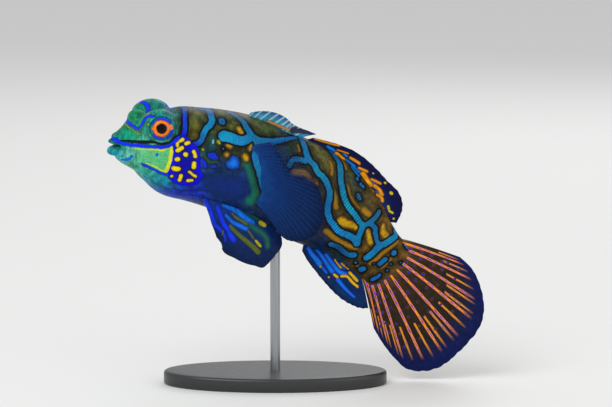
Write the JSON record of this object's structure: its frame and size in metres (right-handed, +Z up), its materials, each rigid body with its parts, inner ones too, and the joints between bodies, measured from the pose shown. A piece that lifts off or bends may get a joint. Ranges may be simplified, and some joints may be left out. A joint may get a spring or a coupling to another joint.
{
  "type": "mandarinfish model",
  "caption": "Life-size mandarinfish, head raised and tail hanging low as it swims, held over a plain oval base by a slim rod.",
  "frame": {"origin": "centre of the stand's underside, on the surface it rests on", "axes": "+Z up, -X towards the fish's head, -Y towards its left side"},
  "size_m": [0.0601, 0.0216, 0.0464],
  "materials": {
    "skin": "smooth wet skin, blue bands edged in black over olive, green head",
    "eye": "clear wet dome over an orange iris and a black pupil",
    "clear_fin": "thin wet see-through blue membrane on soft rays",
    "striped_fin": "wet membrane, bright blue and gold streaks along soft rays",
    "tail_fin": "wet membrane, orange and violet rays with a dark blue edge",
    "stand_base": "satin charcoal lacquer",
    "stand_rod": "fine brushed, lengthwise"
  },
  "bodies": {
    "root": {"head": "skin", "trunk": "skin", "tail_stalk": "skin", "eye_left": "eye", "eye_right": "eye", "first_dorsal_fin": "clear_fin", "second_dorsal_fin": "striped_fin", "anal_fin": "striped_fin", "caudal_fin": "tail_fin", "pectoral_fin_left": "clear_fin", "pectoral_fin_right": "clear_fin", "pelvic_fin_left": "striped_fin", "pelvic_fin_right": "striped_fin", "stand_base": "stand_base", "stand_rod": "stand_rod"}
  },
  "joints": []
}
